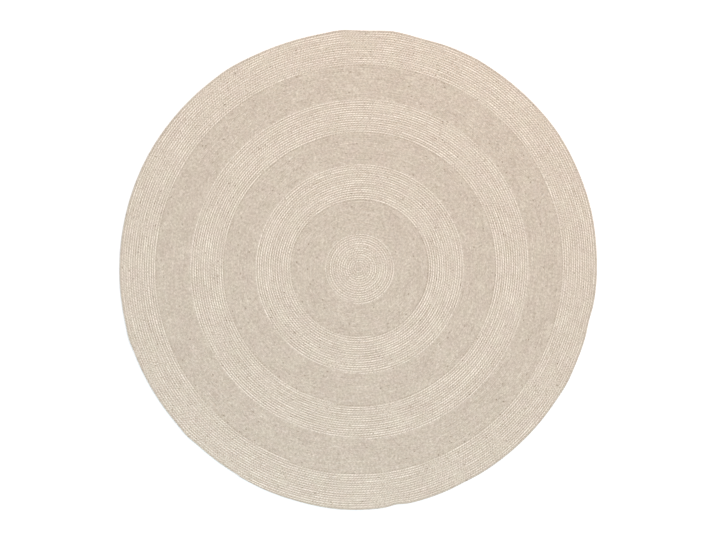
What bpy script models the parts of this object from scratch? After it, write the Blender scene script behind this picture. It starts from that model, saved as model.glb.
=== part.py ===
"""Round jute rug: a flat coil of paired cords, sewn turn to turn, about two metres across.

Metres, +Z up. The origin is the middle of the underside, which lies flat on z = 0. Seen from above
the coil runs clockwise outward. It changes cords six times, and each stretch of one kind of cord is
a wound band and an object of its own: a disc in the middle and six rings round it.
"""

import math

import bmesh
import bpy
import numpy as np

CORD_WIDTH = 0.0047  # across one laid cord
CORDS_PER_TURN = 2
PITCH = CORDS_PER_TURN * CORD_WIDTH  # from one turn of the coil to the next
THICKNESS = 0.007  # underside to the crest of a turn
VALLEY_HEIGHT = 0.0057  # underside to the sewn valley between two turns
RIM_HEIGHT = 0.0036  # where the outermost turn rounds over into the rim
GAP = 0.0003  # between one band and the next

SEGMENTS = 36  # straight stretches in one turn
RIM_STEPS = 3  # points of the rim to each stretch of the outermost turn
COIL_START = math.radians(220)  # direction in which the coil leaves the middle
TAIL_TURNS = 0.075  # the coil's loose end narrows over this stretch
TAIL_WIDTH = 0.15  # what is left of a turn's width at its tip

NATURAL = "natural_jute"
STRIPED = "striped_jute"

# The coil from the middle outward: band, cords, turns.
BANDS = (
    ("striped_centre", STRIPED, 14.9),
    ("natural_inner", NATURAL, 14.925),
    ("striped_inner", STRIPED, 16.025),
    ("natural_middle", NATURAL, 14.025),
    ("striped_middle", STRIPED, 14.975),
    ("natural_outer", NATURAL, 15.075),
    ("striped_outer", STRIPED, 16.025),
)
COIL_TURNS = sum(turns for _, _, turns in BANDS)
COIL_SEGMENTS = round(COIL_TURNS * SEGMENTS)

# Long waves of the handmade outline: lobes round the rug, height in metres, direction of a crest in
# degrees, and the power of the radius with which the wave dies away towards the middle.
WAVES = (
    (1, 0.0054, 189, 8),
    (2, 0.0052, 50, 1),
    (3, 0.0034, 38, 1.5),
    (6, 0.0012, 22, 3),
)

# Short bumps (+) and dents (-) of the outermost turns: direction and half width in degrees, height in
# metres. The five from 74 to 106 shape the flat stretch between two corners, 279 is by the loose end.
BUMPS = (
    (13, 6, 0.0010),
    (35, 6, 0.0020),
    (60, 3, 0.0015),
    (74, 4.5, -0.0045),
    (82, 2.5, 0.0025),
    (90, 5.5, -0.0030),
    (94, 3.5, 0.0055),
    (106, 14, -0.0020),
    (123, 4.5, 0.0030),
    (141, 8, -0.0010),
    (197, 2.5, 0.0035),
    (224, 2.5, 0.0040),
    (255, 6.5, -0.0020),
    (279, 2, -0.0055),
    (296, 3, -0.0020),
    (331, 4, 0.0025),
    (347, 3, -0.0040),
    (355, 7.5, 0.0020),
)
BUMP_POWER = 20  # bumps fade within the last few turns

# Principled BSDF values: base colour, roughness.
FINISHES = {
    NATURAL: ((0.60, 0.50, 0.39, 1.0), 0.95),
    STRIPED: ((0.68, 0.59, 0.48, 1.0), 0.95),
}


def clear_scene():
    for obj in list(bpy.data.objects):
        bpy.data.objects.remove(obj, do_unlink=True)


def unevenness(share, angle):
    """How far the hand winding strays outward, at a share of the full radius and a direction."""
    stray = sum(
        height * share**power * np.cos(lobes * (angle - math.radians(crest)))
        for lobes, height, crest, power in WAVES
    )
    for direction, half_width, height in BUMPS:
        off = (np.degrees(angle) - direction + 180) % 360 - 180
        stray = stray + height * share**BUMP_POWER * np.exp(-((off / half_width) ** 2))
    return stray


def on_coil(turns, across, shift=0.0):
    """Plan positions after so many turns, across = 0 at a turn's inner edge and 1 at its outer edge.

    shift moves a point on along the coil, in metres.
    """
    turns = np.asarray(turns, float)
    radius = PITCH * (turns + across)
    angle = COIL_START - 2 * math.pi * turns - shift / np.maximum(radius, PITCH)
    radius = radius + unevenness(radius / (PITCH * COIL_TURNS), angle)
    return np.stack([radius * np.cos(angle), radius * np.sin(angle)], axis=-1)


def tail_width(turns):
    """Share of a full turn's width that is left: 1 along the coil, TAIL_WIDTH at its tip."""
    left = np.clip((COIL_TURNS - np.asarray(turns, float)) / TAIL_TURNS, 0, 1)
    return TAIL_WIDTH + (1 - TAIL_WIDTH) * left


def rim_points():
    """Plan points of the rim: the outer edge of the last turn, from its start to the tail's tip."""
    count = SEGMENTS * RIM_STEPS
    steps = (COIL_SEGMENTS * RIM_STEPS - count + np.arange(count + 1)) / count
    return on_coil(steps, tail_width(steps))


def rim_middle():
    """Middle of the outline's bounding box."""
    rim = rim_points()
    return (rim.min(axis=0) + rim.max(axis=0)) / 2


def edge_shift(points, outward):
    """Moves plan points half a gap away from the neighbouring band, outward (+1) or inward (-1)."""
    radius = np.linalg.norm(points, axis=-1, keepdims=True)
    return points * (1 + outward * GAP / 2 / np.maximum(radius, PITCH))


def wound_band(name, first, last, is_outermost):
    """Mesh of the coil from segment number first to last: one ridge to each turn, on a flat base.

    The outer edge of a segment is the inner edge of the one a full turn later, so the ridges share
    their valleys, and a band starts and ends with a step of one turn, as the wound cord does.
    """
    bm = bmesh.new()
    middle = rim_middle()

    inner_steps = np.arange(first, last + SEGMENTS + 1)
    valleys = on_coil(inner_steps / SEGMENTS, 0.0)
    crest_steps = np.arange(first, last + 1)
    crests = on_coil(crest_steps / SEGMENTS, 0.5)
    heights = np.full(len(valleys), VALLEY_HEIGHT)

    if is_outermost:
        rim = rim_points()
        valleys[-SEGMENTS - 1 :] = rim[::RIM_STEPS]
        own_steps = (inner_steps[-SEGMENTS - 1 :] - SEGMENTS) / SEGMENTS
        crests[-SEGMENTS - 1 :] = on_coil(own_steps, tail_width(own_steps) / 2)
        heights[-SEGMENTS:] = RIM_HEIGHT
    else:
        valleys[-SEGMENTS - 1 :] = edge_shift(valleys[-SEGMENTS - 1 :], -1)
        end = last / SEGMENTS
        crests[-1] = on_coil(end, 0.5, -GAP / 2)
        valleys[-1] = edge_shift(on_coil(end, 1.0, -GAP / 2), -1)
        valleys[last - first] = edge_shift(on_coil(end, 0.0, -GAP / 2), -1)

    if first:
        start = first / SEGMENTS
        valleys[: SEGMENTS + 1] = edge_shift(valleys[: SEGMENTS + 1], 1)
        crests[0] = on_coil(start, 0.5, GAP / 2)
        valleys[0] = edge_shift(on_coil(start, 0.0, GAP / 2), 1)
        valleys[SEGMENTS] = edge_shift(on_coil(start, 1.0, GAP / 2), 1)

    valleys = valleys - middle
    crests = crests - middle
    low = [bm.verts.new((x, y, z)) for (x, y), z in zip(valleys, heights)]
    high = [bm.verts.new((x, y, THICKNESS)) for x, y in crests]

    last_turn = last - first - SEGMENTS
    for i in range(last - first):
        bm.faces.new((low[i + 1], low[i], high[i], high[i + 1]))
        edge_start, edge_end = low[i + SEGMENTS], low[i + SEGMENTS + 1]
        if not is_outermost or i < last_turn:
            bm.faces.new((high[i + 1], high[i], edge_start, edge_end))
            continue
        # The rim has points of its own between those of the turn.
        at = (i - last_turn) * RIM_STEPS
        between = rim[at + 1 : at + RIM_STEPS] - middle
        edge = [edge_start, *[bm.verts.new((x, y, RIM_HEIGHT)) for x, y in between], edge_end]
        bm.faces.new((high[i], edge[0], edge[1]))
        bm.faces.new((high[i + 1], high[i], edge[1]))
        for near, far in zip(edge[1:], edge[2:]):
            bm.faces.new((high[i + 1], near, far))

    if not first:
        # The middle of the disc: a small spiral floor inside the first turn.
        for i in range(1, SEGMENTS):
            bm.faces.new((low[0], low[i], low[i + 1]))
        bm.faces.new((low[0], low[SEGMENTS], high[0]))

    close_underside(bm)
    mesh = bpy.data.meshes.new(name)
    bm.to_mesh(mesh)
    bm.free()
    return mesh


def close_underside(bm):
    """Drops the open edges of the ridged top straight down to z = 0 and fills the flat underside."""
    edges = [edge for edge in bm.edges if edge.is_boundary]
    dropped = bmesh.ops.extrude_edge_only(bm, edges=edges)["geom"]
    for vert in dropped:
        if isinstance(vert, bmesh.types.BMVert):
            vert.co.z = 0.0
    hem = [edge for edge in dropped if isinstance(edge, bmesh.types.BMEdge)]
    bmesh.ops.triangle_fill(bm, use_beauty=True, use_dissolve=False, edges=hem)
    bmesh.ops.recalc_face_normals(bm, faces=bm.faces)


def jute_material(name):
    colour, roughness = FINISHES[name]
    material = bpy.data.materials.new(name)
    material.use_nodes = True
    shader = material.node_tree.nodes["Principled BSDF"]
    shader.inputs["Base Color"].default_value = colour
    shader.inputs["Roughness"].default_value = roughness
    shader.inputs["Metallic"].default_value = 0.0
    material.diffuse_color = colour
    return material


def build_rug():
    collection = bpy.data.collections.new("round_jute_rug")
    bpy.context.scene.collection.children.link(collection)
    materials = {name: jute_material(name) for name in FINISHES}
    wound = 0.0
    for name, cords, turns in BANDS:
        first = round(wound * SEGMENTS)
        wound += turns
        last = round(wound * SEGMENTS)
        is_outermost = name == BANDS[-1][0]
        mesh = wound_band(name, first, last, is_outermost)
        mesh.materials.append(materials[cords])
        mesh.shade_smooth()
        mesh.set_sharp_from_angle(angle=math.radians(25))
        collection.objects.link(bpy.data.objects.new(name, mesh))


clear_scene()
build_rug()
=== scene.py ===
import math

import bpy
import numpy as np
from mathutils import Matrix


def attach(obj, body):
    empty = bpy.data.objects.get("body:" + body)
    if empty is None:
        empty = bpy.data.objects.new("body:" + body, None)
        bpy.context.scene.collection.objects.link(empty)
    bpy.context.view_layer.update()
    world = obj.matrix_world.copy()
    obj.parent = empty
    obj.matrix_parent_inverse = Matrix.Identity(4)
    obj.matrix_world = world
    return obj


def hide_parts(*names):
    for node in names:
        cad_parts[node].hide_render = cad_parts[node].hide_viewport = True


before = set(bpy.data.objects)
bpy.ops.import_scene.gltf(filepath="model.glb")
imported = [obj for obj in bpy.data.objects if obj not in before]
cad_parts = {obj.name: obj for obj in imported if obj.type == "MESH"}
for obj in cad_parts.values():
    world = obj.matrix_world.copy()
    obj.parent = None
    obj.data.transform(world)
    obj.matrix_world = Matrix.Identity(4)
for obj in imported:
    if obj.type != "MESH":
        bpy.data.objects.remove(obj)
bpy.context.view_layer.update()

# The coil that the whole rug is wound from. Lengths are in metres, angles in degrees.
coil = {
    "cordWidth": 0.0047,
    "cordsPerTurn": 2,
    "turns": 105.95,
    "startAngle": 220,  # direction in which the coil leaves the middle
    "tailTurns": 0.075,  # the loose end narrows over this stretch
    "tailWidth": 0.15,  # share of a turn's width left at its tip
    "gap": 0.0001,  # between one band and the next
    "solidSegments": 36,  # straight stretches to a turn in the solids of the frame
    "rimSteps": 3,  # points of the solids' rim to each of them
    # lobes round the rug, height, direction of a crest, power of the radius that it dies away with
    "waves": [(1, 0.0054, 189, 8), (2, 0.0052, 50, 1), (3, 0.0034, 38, 1.5), (6, 0.0012, 22, 3)],
    # short bumps and dents of the last turns: direction, half width, height
    "bumps": [
        (13, 6, 0.0010), (35, 6, 0.0020), (60, 3, 0.0015), (74, 4.5, -0.0045), (82, 2.5, 0.0025),
        (90, 5.5, -0.0030), (94, 3.5, 0.0055), (106, 14, -0.0020), (123, 4.5, 0.0030),
        (141, 8, -0.0010), (197, 2.5, 0.0035), (224, 2.5, 0.0040), (255, 6.5, -0.0020),
        (279, 2, -0.0055), (296, 3, -0.0020), (331, 4, 0.0025), (347, 3, -0.0040), (355, 7.5, 0.0020),
    ],
    "bumpPower": 20,
}
pitch = coil["cordWidth"] * coil["cordsPerTurn"]  # from one turn to the next


def unevenness(share, angle):
    # sum of cosine waves round the rug, each times the share of the full radius to a power, and of
    # bell-shaped bumps that count only near the rim
    stray = sum(
        height * share**power * np.cos(lobes * (angle - math.radians(crest)))
        for lobes, height, crest, power in coil["waves"]
    )
    for direction, halfWidth, height in coil["bumps"]:
        off = (np.degrees(angle) - direction + 180) % 360 - 180
        stray = stray + height * share ** coil["bumpPower"] * np.exp(-((off / halfWidth) ** 2))
    return stray


def coilPoint(turns, across, shift=0.0):
    # radius = pitch times turns wound so far, the angle runs clockwise one circle to a turn, and the
    # unevenness is added to the radius; shift moves a point on along the cord
    radius = pitch * (turns + across)
    angle = math.radians(coil["startAngle"]) - 2 * math.pi * turns - shift / np.maximum(radius, pitch)
    radius = radius + unevenness(radius / (pitch * coil["turns"]), angle)
    return np.stack([radius * np.cos(angle), radius * np.sin(angle)], axis=-1)


def tailShare(turns):
    # 1 along the coil, falling evenly to the tail's width over the last stretch
    left = np.clip((coil["turns"] - turns) / coil["tailTurns"], 0, 1)
    return coil["tailWidth"] + (1 - coil["tailWidth"]) * left


def rimMiddle():
    # middle of the box round the solids' rim, so that bands lie on their solids
    count = coil["solidSegments"] * coil["rimSteps"]
    last = round(coil["turns"] * coil["solidSegments"]) / coil["solidSegments"]
    turns = last - np.arange(count + 1) / count
    rim = coilPoint(turns, tailShare(turns))
    return (rim.min(axis=0) + rim.max(axis=0)) / 2


# How the laid cords of a turn are shaped.
cordShape = {
    "crest": 0.0070,  # height above the floor
    "valley": 0.0056,  # height of the sewn valleys
    "across": np.array([0.10, 0.25, 0.40, 0.50, 0.60, 0.75, 0.90]),  # share of a turn's width
    "profile": np.array([0.80, 1.00, 0.80, 0.00, 0.80, 1.00, 0.80]),  # share of the crest's rise
    "slub": 0.16,  # how much a hand-spun cord swells and thins, share of its height
    "slubLength": 0.022,  # metres from one swelling to the next
    "wander": 0.16,  # how far a sewn valley strays, share of a turn's width
    "wanderLength": 0.07,
    "startTurns": 0.25,  # in the rug's middle the cords rise over this stretch
    "startRise": 0.35,  # from this share of their height
    "seed": 11,
}
crestRise = cordShape["crest"] - cordShape["valley"]


def drift(rng, count, spacing):
    # smooth random line, mostly between -1 and 1: half of normal random knots at a spacing, with a few
    # to spare, joined straight
    knots = rng.standard_normal(int(count / spacing) + 3) / 2
    return np.interp(np.arange(count) / spacing, np.arange(len(knots)), knots)


def cordHeights(along, stepLength, rng):
    # valley + crest's rise * profile across the turn * swelling along each cord, and the swelling
    # starts low where the coil does
    spacing = cordShape["slubLength"] / stepLength
    slubs = np.array([drift(rng, len(along), spacing) for _ in range(coil["cordsPerTurn"])])
    ownCord = (cordShape["across"] > 0.5).astype(int)
    swell = 1 + cordShape["slub"] * slubs[ownCord].T
    swell *= np.clip(along / cordShape["startTurns"], cordShape["startRise"], 1)[:, None]
    return cordShape["valley"] + crestRise * cordShape["profile"] * swell


def besideNeighbour(points, outward):
    # half the gap away from the neighbouring band
    radius = np.linalg.norm(points, axis=-1, keepdims=True)
    return points * (1 + outward * coil["gap"] / 2 / np.maximum(radius, pitch))


def leaveGap(edges, ridges, turns, at, perTurn, outward):
    # moves the edge of the turn that begins at this step, and the cut end there, half the gap away
    turnEdge = slice(at, at + perTurn + 1)
    edges[turnEdge] = besideNeighbour(edges[turnEdge], outward)
    shift = outward * coil["gap"] / 2
    ridges[at] = coilPoint(turns, cordShape["across"], shift)
    for side in (0, 1):
        edges[at + side * perTurn] = besideNeighbour(coilPoint(turns, side, shift), outward)


def turnsFromAbove(along, perTurn, stepLength, isOutermost, rng):
    # coil points at the inner edge of every step, on to the outer edge of the last turn, and at the
    # shares across every step. Sewn valleys stray by a drift, but not at the band's own edges, and
    # the points across by another drift times a sine that is 0 at the valleys
    edgeAlong = along[0] + np.arange(len(along) + perTurn) / perTurn
    spacing = cordShape["wanderLength"] / stepLength
    edgeStray = cordShape["wander"] * drift(rng, len(edgeAlong), spacing)
    edgeStray[: perTurn + 1] = 0
    edgeStray[-perTurn - 1 :] = 0
    middleStray = cordShape["wander"] * drift(rng, len(along), spacing)
    across = cordShape["across"] + middleStray[:, None] * np.sin(np.pi * cordShape["across"])
    edges = coilPoint(edgeAlong, edgeStray)
    ridges = coilPoint(along[:, None], across * tailShare(along)[:, None])
    if isOutermost:
        lastTurn = along[-perTurn - 1 :]
        edges[-perTurn - 1 :] = coilPoint(lastTurn, tailShare(lastTurn))
    else:
        leaveGap(edges, ridges, along[-1], len(along) - 1, perTurn, -1)
    if along[0] > 0:
        leaveGap(edges, ridges, along[0], 0, perTurn, 1)
    return edges, ridges


# How the rug's outermost cord rounds over into the rim: for each row the inset and height in metres,
# and how far it lies across the turn, in cord widths. It counts as a third cord, from 2 to 3.
rimShape = {
    "widest": (0.0, 0.0034, 3.0),
    "between": (0.0003, 0.0013, 3.3),
    "foot": (0.0014, 0.0, 3.75),
}


def rimRow(widest, inset, height):
    # the rim's widest line moved straight inward by the inset, at one height
    outward = widest / np.linalg.norm(widest, axis=1, keepdims=True)
    return np.column_stack([widest - outward * inset, np.full(len(widest), height)])


def rimFaces(edge, between, foot, reach):
    # quads from the cord's widest line by the row between to its foot; the row between begins at the
    # foot, with a triangle, because the turn before is in the way there
    between = np.concatenate([foot[:1], between])
    edgeAcross, betweenAcross, footAcross = [across for _, _, across in rimShape.values()]
    upper = gridFaces([edge, between], reach, [edgeAcross, betweenAcross])
    lower = gridFaces([between[1:], foot[1:]], reach[1:], [betweenAcross, footAcross])
    return [upper, lower], [foot[0], between[1], foot[1]]


# The curled tip that the first turn winds round, in rows from that turn's inner edge inward.
curl = {
    "aside": 0.2,  # the tip lies this share of the way from the coil's start to half a turn on
    "shares": np.array([0.88, 0.70, 0.50, 0.30, 0.12, 0.00]),  # share of the way from tip to edge
    "lifts": np.array([0.7, 1.0, 1.0, 0.8, 0.5, 0.4]),  # share of the crest's rise
}


def curlRows(edge):
    # edge shrunk towards the tip by each share, and lifted as a round cord is, less where the edge is
    # within half a pitch of the tip; the last row is one point
    tip = edge[0] + curl["aside"] * (edge[len(edge) // 2] - edge[0])
    apart = np.linalg.norm(edge - tip, axis=1)
    rows = tip + curl["shares"][:, None, None] * (edge - tip)
    rows[:, :, 2] += crestRise * curl["lifts"][:, None] * np.minimum(apart / (pitch / 2), 1)
    return rows[:-1], rows[-1].mean(axis=0, keepdims=True)


def curlFaces(edge, rows, tip, reach):
    # closed rings of quads from the tip out to the edge, and triangles round the tip
    rings = np.vstack([rows[::-1], edge])
    rings = np.column_stack([rings, rings[:, 0]])
    across = 1 - np.append(curl["shares"][-2::-1], 1.0)
    return gridFaces([*rings], np.append(reach, reach[0]), across), fanFaces(tip, rings[0, ::-1])


def bandPoints(along, perTurn, isOutermost, rng):
    # blocks of points: edges of the turns, points across the turns, the same edges on the floor, and
    # then those that only the rim or the curled tip has
    meanRadius = pitch * (along.mean() + 0.5)
    stepLength = 2 * math.pi * meanRadius / perTurn
    heights = cordHeights(along, stepLength, rng)
    edges, ridges = turnsFromAbove(along, perTurn, stepLength, isOutermost, rng)
    middle = rimMiddle()
    edges = edges - middle
    ridges = ridges - middle
    edgePoints = np.column_stack([edges, np.full(len(edges), cordShape["valley"])])
    ridgePoints = np.concatenate([ridges, heights[:, :, None]], axis=2)
    floorPoints = np.column_stack([edges, np.zeros(len(edges))])
    blocks = [edgePoints, ridgePoints, floorPoints]
    if isOutermost:
        rim = edges[-perTurn:]
        widest, between, foot = [rimRow(rim, inset, height) for inset, height, _ in rimShape.values()]
        edgePoints[-perTurn:] = widest
        floorPoints[-perTurn:] = foot
        blocks.append(between)
    if along[0] == 0:
        blocks += curlRows(edgePoints[: perTurn + 1])
    return blocks


def pointNumbers(blocks):
    # the points of each block counted on from those of the blocks before it
    numbers, count = [], 0
    for block in blocks:
        shape = block.shape[:-1]
        numbers.append(count + np.arange(math.prod(shape)).reshape(shape))
        count += math.prod(shape)
    return numbers


def cellCorners(grid):
    # the four corners of each cell of a grid, one after the other round the cell
    return np.stack([grid[:-1, :-1], grid[1:, :-1], grid[1:, 1:], grid[:-1, 1:]], axis=2)


def gridFaces(columns, reach, across):
    # quads between columns of point numbers that run along the cord, and the place of every corner
    # on the cord: its step's reach and its column's place across, both in cord widths
    numbers = np.column_stack(columns)
    places = np.stack(np.broadcast_arrays(reach[:, None], across), axis=-1)
    return cellCorners(numbers), cellCorners(places)


def fanFaces(middle, row):
    # triangles between one point and each two neighbours of a row
    return np.column_stack([np.full(len(row) - 1, middle), row[:-1], row[1:]])


def topFaces(edge, ridge, reach, perTurn, isOutermost):
    # grid of steps along the cord by points across a turn. On the rug's last turn the outer cord lies
    # one cord width further across, because it counts as a third one
    across = coil["cordsPerTurn"] * np.concatenate([[0], cordShape["across"], [1]])
    corners, places = gridFaces([edge[: len(ridge)], ridge, edge[perTurn:]], reach, across)
    if isOutermost:
        places[-perTurn:, len(across) // 2 :, :, 1] += 1
    return corners, places


def startFaces(edge, ridge, floor, more, reach, isCentre):
    # the wall beside the band inside and the cut end of the cords, or in the rug's middle the curl
    # and the floor under it
    cut = [edge[0], *ridge, edge[-1]]
    if isCentre:
        grid, fan = curlFaces(edge, *more, reach)
        return [grid], [cut, *fan, *fanFaces(floor[0], floor[1:])]
    return [gridFaces([floor, edge], reach, [0, 0])], [[*cut, floor[-1], floor[0]]]


def endFaces(edge, ridge, floor, more, reach, isOutermost):
    # the wall beside the next band, or the rim, and the cut end of the cords
    cut = [edge[-1], *ridge[::-1], edge[0], floor[0], floor[-1]]
    if isOutermost:
        grids, rimStart = rimFaces(edge, *more, floor, reach)
        return grids, [rimStart, [*cut, more[0][-1]]]
    return [gridFaces([edge, floor], reach, [coil["cordsPerTurn"]] * 2)], [cut]


def windBand(first, steps, perTurn, isOutermost, rng):
    # The outer edge of a step is the inner edge of the step one turn later, so neighbouring turns
    # share a valley. On the floor lies a flat strip of the same spiral, and walls join the two at the
    # band's edges.
    along = first + np.arange(steps + 1) / perTurn
    blocks = bandPoints(along, perTurn, isOutermost, rng)
    edge, ridge, floor, *more = pointNumbers(blocks)

    # length of the spiral from the band's start to each step, in cord widths
    reach = math.pi * pitch * (along * (along + 1) - first * (first + 1)) / coil["cordWidth"]
    top = topFaces(edge, ridge, reach, perTurn, isOutermost)
    bottom = gridFaces([floor[perTurn:], floor[: steps + 1]], reach, [coil["cordsPerTurn"], 0])
    start, end = slice(0, perTurn + 1), slice(steps, None)
    startGrids, startOdd = startFaces(
        edge[start], ridge[0], floor[start], more, reach[: perTurn + 1], isCentre=first == 0
    )
    endGrids, endOdd = endFaces(
        edge[end], ridge[-1], floor[end], more, reach[-perTurn - 1 :], isOutermost
    )
    grids = [top, bottom, *startGrids, *endGrids]

    # creases run along the sewn valleys and round the underside, but not over the rim
    points = np.concatenate([block.reshape(-1, 3) for block in blocks])
    crease = np.zeros(len(points), int)
    crease[edge] = 1
    crease[floor] = 2
    if isOutermost:
        crease[edge[-perTurn:]] = 0
        crease[floor[-perTurn:]] = 0
    return points, grids, startOdd + endOdd, crease


def markCreases(mesh, odd, crease):
    # an edge is sharp where both its points are in one crease, and round a cut end
    pairs = np.empty(len(mesh.edges) * 2, np.int32)
    mesh.edges.foreach_get("vertices", pairs)
    pairs = pairs.reshape(-1, 2)
    isSharp = (crease[pairs[:, 0]] == crease[pairs[:, 1]]) & (crease[pairs[:, 0]] > 0)
    for face in odd:
        if len(face) > 3:
            isSharp |= np.isin(pairs, face).all(axis=1)
    mesh.attributes.new("sharp_edge", "BOOLEAN", "EDGE").data.foreach_set("value", isSharp)


def addObject(name, data):
    # an object at the origin, in the scene's own collection
    made = bpy.data.objects.new(name, data)
    bpy.context.scene.collection.objects.link(made)
    return made


def bandObject(name, points, grids, odd, crease):
    # quads as whole arrays and the few odd faces behind them, which look like a cord's middle
    corners = np.concatenate([numbers.ravel() for numbers, _ in grids])
    loops = np.concatenate([corners, *odd]).astype(np.int32)
    sizes = np.concatenate([np.full(len(corners) // 4, 4), [len(face) for face in odd]])
    starts = np.concatenate([[0], np.cumsum(sizes)[:-1]]).astype(np.int32)
    places = np.concatenate([place.reshape(-1, 2) for _, place in grids])
    oddPlaces = np.tile([0.0, 0.5], (len(loops) - len(corners), 1))
    mesh = bpy.data.meshes.new(name)
    mesh.vertices.add(len(points))
    mesh.vertices.foreach_set("co", points.astype(np.float32).ravel())
    mesh.loops.add(len(loops))
    mesh.loops.foreach_set("vertex_index", loops)
    mesh.polygons.add(len(sizes))
    mesh.polygons.foreach_set("loop_start", starts)
    mesh.update(calc_edges=True)
    layer = mesh.uv_layers.new(name="cord")
    layer.data.foreach_set("uv", np.concatenate([places, oddPlaces]).astype(np.float32).ravel())
    mesh.validate()
    mesh.shade_smooth()
    markCreases(mesh, odd, crease)
    return addObject(name, mesh)


# The two cords of a turn: colours as linear values, and how much each kind varies, as shares of them.
# Lengths are in cord widths, here and below, where nothing else is said.
finishes = {
    "natural_jute": {
        "innerCord": (0.558, 0.493, 0.410),
        "outerCord": (0.558, 0.493, 0.410),
        "stretchTone": 0.40,  # light and dark stretches of a cord
        "turnTone": 0.17,  # longer ones of a whole turn
        "fibreTone": 0.46,  # streaks of fibres
        "fuzzTone": 0.22,  # loose fibres over several cords
        "plyToneAndShade": 0.14,  # lighter and darker plies that a cord is twisted from, partly their own tone, partly painted shade of the twist
        "plyLength": 1.25,
        "brightest": 1.45,  # no tone goes above this
    },
    "striped_jute": {
        "innerCord": (0.529, 0.464, 0.380),
        "outerCord": (0.709, 0.644, 0.555),
        "stretchTone": 0.41,
        "turnTone": 0.07,
        "fibreTone": 0.80,
        "fuzzTone": 0.16,
        # plies: partly their own tone, partly painted shade along the twist
        "plyToneAndShade": 0.22,
        "plyLength": 2.4,
        "brightest": 1.16,
    },
}

# What both kinds share.
yarn = {
    "rimShadeColour": (0.540, 0.487, 0.412),  # greyer, darker colour of the rug's outermost cord: painted shade of the rim
    "stretchLength": 1.9,
    "turnLength": 24.0,
    "fibreLength": 2.0,
    "fibresAcross": 5.0,
    "lean": 0.45,  # fibres run this far across for one width along, the two cords opposite ways
    "unevenTwist": 3.0,  # twists gained or lost from one long stretch to the next
    "plyHeight": 0.35,  # share of the fibres' height
    "bumpDepth": 0.0006,  # metres
    "paintedGrooveShade": 0.80,  # painted shade at the edges of a cord, where the grooves are
    "grooveShadePower": 4.0,  # of the distance from its middle
    "fleckShare": 0.007,  # share of short stretches that are dark flecks
    "fleckLength": 2.2,
    "fleckTone": 0.45,
    "fuzzSize": 0.009,  # metres
    "patchTone": 0.05,  # slow changes over the rug
    "patchSize": 0.12,  # metres
    "hueDrift": 0.03,  # slow changes from a redder to a greener tone
    "hueSize": 0.06,  # metres
    "middleTone": 0.94,  # the rug's middle is wound tighter, and darker
    "middleSize": 0.045,  # metres
    "brightestBlend": 0.2,  # how softly tones stop at the brightest one
    "brightness": (0.90, 1.0, 1.12),  # how strongly a tone acts on red, green and blue
    "roughness": 0.95,
    "sheen": 0.08,
    "specular": 0.2,
}

# How the contrast between the two cords of a turn comes and goes. 1 is the finish's own contrast.
fading = {
    "alongCord": 0.9,  # how strongly it changes along them
    "alongLength": 9.0,
    "worn": 1.0,  # in worn patches over the rug
    "wornSize": 0.05,  # metres
    "broad": 0.9,  # and in broad ones
    "broadSize": 0.18,  # metres
    "strongest": 1.5,
    "strongestBlend": 0.5,  # how softly it stops there
    "middle": 0.60,  # share of it left in the rug's middle
    "middleGain": 3.0,  # what a metre outward adds to that share
    "full": 1.25,  # further out the share falls from this
    "rimLoss": 0.35,  # by this much a metre
}

# How far into the noise the outer cord, whole turns and the fading are read, so that none is alike.
noiseLines = {"outerCord": 31.7, "turn": 53.0, "fading": 77.0}


class Nodes:
    # the nodes of one material
    def __init__(self, name):
        self.material = bpy.data.materials.new(name)
        self.material.use_nodes = True
        self.tree = self.material.node_tree
        self.shader = self.tree.nodes["Principled BSDF"]

    def feed(self, node, values):
        # by the socket's name or number: another node's output is linked, and a number is set
        for key, value in values.items():
            socket = node.inputs[key]
            if isinstance(value, bpy.types.NodeSocket):
                self.tree.links.new(value, socket)
            else:
                socket.default_value = value

    def add(self, kind, values, **settings):
        made = self.tree.nodes.new(kind)
        for key, value in settings.items():
            setattr(made, key, value)
        self.feed(made, values)
        return made

    def maths(self, operation, *values):
        return self.add("ShaderNodeMath", dict(enumerate(values)), operation=operation).outputs[0]

    def times(self, product, *factors):
        for factor in factors:
            product = self.maths("MULTIPLY", product, factor)
        return product

    def vector(self, *values):
        return self.add("ShaderNodeCombineXYZ", dict(enumerate(values))).outputs[0]

    def noise(self, where, scale, detail):
        values = {"Vector": where, "Scale": scale, "Detail": detail}
        return self.add("ShaderNodeTexNoise", values).outputs["Fac"]

    def blend(self, share, first, second):
        values = {"Factor": share, "A": first, "B": second}
        made = self.add("ShaderNodeMix", values, data_type="RGBA", clamp_factor=False)
        return made.outputs["Result"]

    def tone(self, noise, amount, middle=1.0):
        # middle at a noise of one half, plus or minus the amount at its ends
        return self.maths("MULTIPLY_ADD", noise, 2 * amount, middle - amount)


def placeOnCord(nodes):
    # in cord widths: u along the cord, v over the cords of a turn, and across over its own cord. The
    # line is the one that its own cord reads in the noise
    uv = nodes.add("ShaderNodeUVMap", {}, uv_map="cord").outputs["UV"]
    split = nodes.add("ShaderNodeSeparateXYZ", {0: uv})
    u, v = split.outputs["X"], split.outputs["Y"]
    isOuter = nodes.maths("GREATER_THAN", v, 1.0)
    cord = nodes.maths("MINIMUM", nodes.maths("FLOOR", v), coil["cordsPerTurn"])
    across = nodes.maths("SUBTRACT", v, cord)
    line = nodes.maths("MULTIPLY", isOuter, noiseLines["outerCord"])
    return {"u": u, "v": v, "cord": cord, "across": across, "isOuter": isOuter, "line": line}


def placeOnRug(nodes):
    # the object's own coordinates, and the distance from its middle
    coords = nodes.add("ShaderNodeTexCoord", {}).outputs["Object"]
    length = nodes.add("ShaderNodeVectorMath", {0: coords}, operation="LENGTH")
    return {"coords": coords, "distance": length.outputs["Value"]}


def noiseAlong(nodes, place, length, line):
    # noise that changes along the cord only, over this length
    where = nodes.vector(nodes.maths("DIVIDE", place["u"], length), line)
    return nodes.noise(where, scale=1.0, detail=2.0)


def noiseOver(nodes, rug, size, detail=1.0):
    # noise over the whole rug, in patches of this size
    return nodes.noise(rug["coords"], 1 / size, detail)


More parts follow.
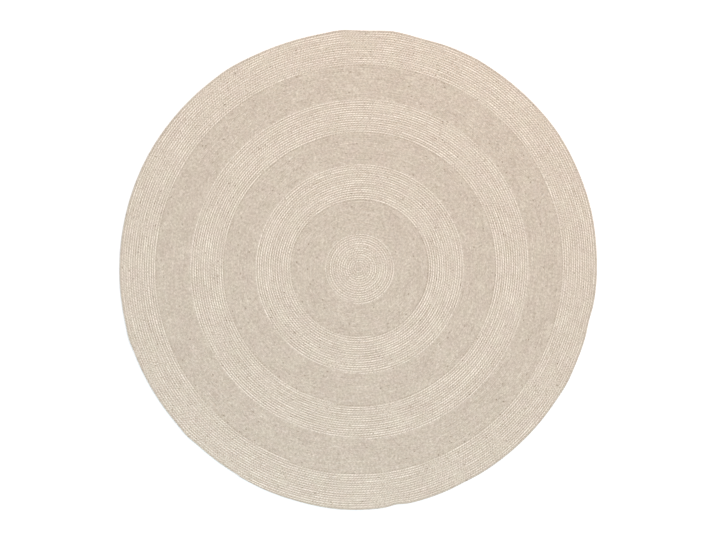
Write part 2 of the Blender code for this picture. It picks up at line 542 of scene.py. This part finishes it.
def spunFibres(nodes, place):
    # noise drawn out along the cord, which leans as the cord is twisted
    lean = nodes.times(nodes.maths("MULTIPLY_ADD", place["isOuter"], -2.0, 1.0), yarn["lean"])
    twisted = nodes.maths("MULTIPLY_ADD", place["u"], lean, place["across"])
    drawn = nodes.maths("DIVIDE", place["u"], yarn["fibreLength"])
    where = nodes.vector(drawn, nodes.times(twisted, yarn["fibresAcross"]), place["line"])
    return nodes.noise(where, scale=1.0, detail=3.0), lean


def twistedPlies(nodes, place, look, lean, turn):
    # sine of one circle to a ply's length along the cord, leaning like the fibres, unevenly twisted
    laid = nodes.maths("DIVIDE", place["u"], look["plyLength"])
    laid = nodes.maths("ADD", laid, nodes.times(place["across"], lean))
    laid = nodes.maths("MULTIPLY_ADD", turn, yarn["unevenTwist"], laid)
    return nodes.maths("SINE", nodes.times(laid, 2 * math.pi))


def fleckTone(nodes, place):
    # in stretches of the cord that chance picks, a half sine along times a half sine across
    cell = nodes.maths("DIVIDE", place["u"], yarn["fleckLength"])
    where = nodes.vector(nodes.maths("FLOOR", cell), place["line"])
    chance = nodes.add("ShaderNodeTexWhiteNoise", {"Vector": where}, noise_dimensions="2D")
    isFleck = nodes.maths("LESS_THAN", chance.outputs["Value"], yarn["fleckShare"])
    swellAlong = nodes.maths("SINE", nodes.times(nodes.maths("FRACT", cell), math.pi))
    swellAcross = nodes.maths("SINE", nodes.times(place["across"], math.pi))
    fleck = nodes.times(isFleck, nodes.times(swellAlong, swellAcross))
    return nodes.maths("MULTIPLY_ADD", fleck, yarn["fleckTone"] - 1, 1.0)


def paintedGrooveShade(nodes, place):
    # painted shade of the grooves: 1 in a cord's middle, down to the groove's darker tone with a power
    # of the distance from it. The rug's outermost cord keeps its middle's tone from there over the rim
    v = nodes.maths("MINIMUM", place["v"], coil["cordsPerTurn"] + 0.5)
    inside = nodes.maths("SUBTRACT", v, place["cord"])
    fromMiddle = nodes.maths("ABSOLUTE", nodes.maths("MULTIPLY_ADD", inside, 2.0, -1.0))
    share = nodes.maths("POWER", fromMiddle, yarn["grooveShadePower"])
    return nodes.maths("MULTIPLY_ADD", share, yarn["paintedGrooveShade"] - 1, 1.0)


def middleTone(nodes, rug):
    # rises with the square of the distance to 1 at the middle's size
    away = nodes.maths("MINIMUM", nodes.maths("DIVIDE", rug["distance"], yarn["middleSize"]), 1.0)
    square = nodes.times(away, away)
    return nodes.maths("MULTIPLY_ADD", square, 1 - yarn["middleTone"], yarn["middleTone"])


def stripeContrast(nodes, place, rug):
    # noise along the cord and two over the rug added up, limited, and times a share that rises from
    # the rug's middle and then falls towards the rim
    along = noiseAlong(nodes, place, fading["alongLength"], noiseLines["fading"])
    worn = noiseOver(nodes, rug, fading["wornSize"])
    broad = noiseOver(nodes, rug, fading["broadSize"])
    contrast = nodes.tone(along, fading["alongCord"])
    contrast = nodes.maths("ADD", contrast, nodes.tone(worn, fading["worn"], 0.0))
    contrast = nodes.maths("ADD", contrast, nodes.tone(broad, fading["broad"], 0.0))
    contrast = nodes.maths("SMOOTH_MIN", contrast, fading["strongest"], fading["strongestBlend"])
    rising = nodes.maths("MULTIPLY_ADD", rug["distance"], fading["middleGain"], fading["middle"])
    falling = nodes.maths("MULTIPLY_ADD", rug["distance"], -fading["rimLoss"], fading["full"])
    return nodes.times(contrast, nodes.maths("MINIMUM", rising, falling))


def cordColour(nodes, place, rug, look):
    # inner cord's colour blended to the outer one's by half the contrast either way, and painted rim
    # shade, a greyer, darker colour, on the rug's outermost cord, which lies further across than any
    # other reaches
    contrast = stripeContrast(nodes, place, rug)
    side = nodes.maths("SUBTRACT", place["isOuter"], 0.5)
    share = nodes.maths("MULTIPLY_ADD", side, contrast, 0.5)
    colour = nodes.blend(share, (*look["innerCord"], 1), (*look["outerCord"], 1))
    # painted shade: the rug's outermost cord and the rim over it are greyer and darker
    isShadedRim = nodes.maths("GREATER_THAN", place["v"], coil["cordsPerTurn"] + 0.01)
    return nodes.blend(isShadedRim, colour, (*yarn["rimShadeColour"], 1))


def cordTones(nodes, place, rug, look, turn, fibre, plies):
    # product of all tones round 1, limited, and darker in the rug's middle, in flecks, and by painted
    # groove shade
    stretch = noiseAlong(nodes, place, yarn["stretchLength"], place["line"])
    fuzz = noiseOver(nodes, rug, yarn["fuzzSize"])
    patch = noiseOver(nodes, rug, yarn["patchSize"], detail=3.0)
    tones = nodes.times(
        nodes.tone(stretch, look["stretchTone"]),
        nodes.tone(fibre, look["fibreTone"]),
        nodes.tone(turn, look["turnTone"]),
        nodes.tone(fuzz, look["fuzzTone"]),
        nodes.tone(patch, yarn["patchTone"]),
        # the plies: partly their own tone, partly painted shade along the twist
        nodes.maths("MULTIPLY_ADD", plies, look["plyToneAndShade"], 1.0),
    )
    tones = nodes.maths("SMOOTH_MIN", tones, look["brightest"], yarn["brightestBlend"])
    # painted shade: the grooves between the cords are darkened here
    return nodes.times(tones, middleTone(nodes, rug), paintedGrooveShade(nodes, place), fleckTone(nodes, place))


def tint(nodes, rug, tones):
    # each colour's share: the tones to its own power, and green drifts over the rug
    red, green, blue = [nodes.maths("POWER", tones, strength) for strength in yarn["brightness"]]
    hue = noiseOver(nodes, rug, yarn["hueSize"])
    return nodes.vector(red, nodes.times(green, nodes.tone(hue, yarn["hueDrift"])), blue)


def relief(nodes, fibre, plies):
    # fibres and a share of the twisted plies stand proud
    height = nodes.maths("MULTIPLY_ADD", plies, yarn["plyHeight"], fibre)
    values = {"Strength": 1.0, "Distance": yarn["bumpDepth"], "Height": height}
    return nodes.add("ShaderNodeBump", values).outputs[0]


def juteMaterial(name, look):
    # colour = the cord's own * its tones
    nodes = Nodes(name)
    place, rug = placeOnCord(nodes), placeOnRug(nodes)
    turn = noiseAlong(nodes, place, yarn["turnLength"], noiseLines["turn"])
    fibre, lean = spunFibres(nodes, place)
    plies = twistedPlies(nodes, place, look, lean, turn)
    tones = cordTones(nodes, place, rug, look, turn, fibre, plies)
    factors = {0: cordColour(nodes, place, rug, look), 1: tint(nodes, rug, tones)}
    colour = nodes.add("ShaderNodeVectorMath", factors, operation="MULTIPLY")
    nodes.feed(nodes.shader, {
        "Base Color": colour.outputs[0],
        "Normal": relief(nodes, fibre, plies),
        "Roughness": yarn["roughness"],
        "Sheen Weight": yarn["sheen"],
        "Specular IOR Level": yarn["specular"],
    })
    return nodes.material


# The bands from the middle outward: the CAD node that each stands for, its cords, the solid's
# stretches along the coil, and how many finer ones each of them becomes here.
bands = [
    {"node": "striped_centre", "cords": "striped_jute", "stretches": 536, "finer": 3},
    {"node": "natural_inner", "cords": "natural_jute", "stretches": 538, "finer": 7},
    {"node": "striped_inner", "cords": "striped_jute", "stretches": 577, "finer": 10},
    {"node": "natural_middle", "cords": "natural_jute", "stretches": 505, "finer": 13},
    {"node": "striped_middle", "cords": "striped_jute", "stretches": 539, "finer": 16},
    {"node": "natural_outer", "cords": "natural_jute", "stretches": 542, "finer": 19},
    {"node": "striped_outer", "cords": "striped_jute", "stretches": 577, "finer": 18},
]

print("cord materials")
materials = {name: juteMaterial(name + "_yarn", look) for name, look in finishes.items()}

wound = 0
for band in bands:
    name, cords = band["node"], band["cords"]
    rng = np.random.default_rng([cordShape["seed"], wound])
    first = wound / coil["solidSegments"]
    wound += band["stretches"]
    steps, perTurn = band["stretches"] * band["finer"], coil["solidSegments"] * band["finer"]
    shape = windBand(first, steps, perTurn, band is bands[-1], rng)
    rug = bandObject("wound_" + name, *shape)
    rug.data.materials.append(materials[cords])
    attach(rug, "root")
    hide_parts(name)

# The floor, the light and the camera.
studio = {
    "floorColour": (0.94, 0.94, 0.94),
    "floorRoughness": 0.9,
    "floorSize": 60.0,
    "worldStrength": 0.93,
    "keyStrength": 0.75,
    "keyAzimuth": 21,  # degrees round from the right
    "keyHeight": 45,
    "keySpread": 35,
    "lens": 85,
    "sensorWidth": 36,
    "frameWidth": 2.9936,  # metres across the picture, at the rug
    "aim": (-0.0008, -0.0005),  # metres from the rug's middle
}
fills = {
    # warm from the far side, cool from the near left
    "warmFill": {"place": (1.4, 3.2, 3.0), "width": 1.5, "power": 59, "colour": (1.0, 0.66, 0.55)},
    "coolFill": {"place": (-1.05, -3.4, 3.0), "width": 1.5, "power": 43, "colour": (0.45, 0.72, 0.90)},
}


def floorMaterial():
    # matt white
    nodes = Nodes("floor")
    colour = (*studio["floorColour"], 1)
    nodes.feed(nodes.shader, {"Base Color": colour, "Roughness": studio["floorRoughness"]})
    return nodes.material


def makeFloor():
    # flat square under the rug
    half = studio["floorSize"] / 2
    corners = [(-half, -half, 0), (half, -half, 0), (half, half, 0), (-half, half, 0)]
    mesh = bpy.data.meshes.new("floor")
    mesh.from_pydata(corners, [], [(0, 1, 2, 3)])
    mesh.materials.append(floorMaterial())
    floor = addObject("floor", mesh)


def makeWorld():
    # even white light from all round
    world = bpy.data.worlds.new("studio")
    bpy.context.scene.world = world
    world.use_nodes = True
    background = world.node_tree.nodes["Background"]
    background.inputs["Color"].default_value = (1, 1, 1, 1)
    background.inputs["Strength"].default_value = studio["worldStrength"]


def makeKey():
    # soft sun
    key = bpy.data.lights.new("key", "SUN")
    key.energy = studio["keyStrength"]
    key.angle = math.radians(studio["keySpread"])
    tilt, azimuth = math.radians(90 - studio["keyHeight"]), math.radians(studio["keyAzimuth"])
    holder = addObject("key", key)
    holder.rotation_euler = (0, tilt, azimuth)  # leans towards where the light comes from


def makeFill(name, fill):
    # round lamp that faces the rug's middle
    lamp = bpy.data.lights.new(name, "AREA")
    lamp.shape = "DISK"
    lamp.size = fill["width"]
    lamp.energy = fill["power"]
    lamp.color = fill["colour"]
    holder = addObject(name, lamp)
    holder.location = fill["place"]
    holder.rotation_euler = (-holder.location).to_track_quat("-Z", "Y").to_euler()


def makeCamera():
    # straight above the rug, as large as in the photo: distance = frame's width * lens / sensor's width
    camera = bpy.data.cameras.new("camera")
    camera.lens = studio["lens"]
    camera.sensor_width = studio["sensorWidth"]
    holder = addObject("camera", camera)
    away = studio["frameWidth"] * studio["lens"] / studio["sensorWidth"]
    holder.location = (*studio["aim"], cordShape["crest"] + away)
    bpy.context.scene.camera = holder


print("floor, light and camera")
makeFloor()
makeWorld()
makeKey()
for name, fill in fills.items():
    makeFill(name, fill)
makeCamera()
bpy.context.scene.view_settings.view_transform = "Standard"

print("done")
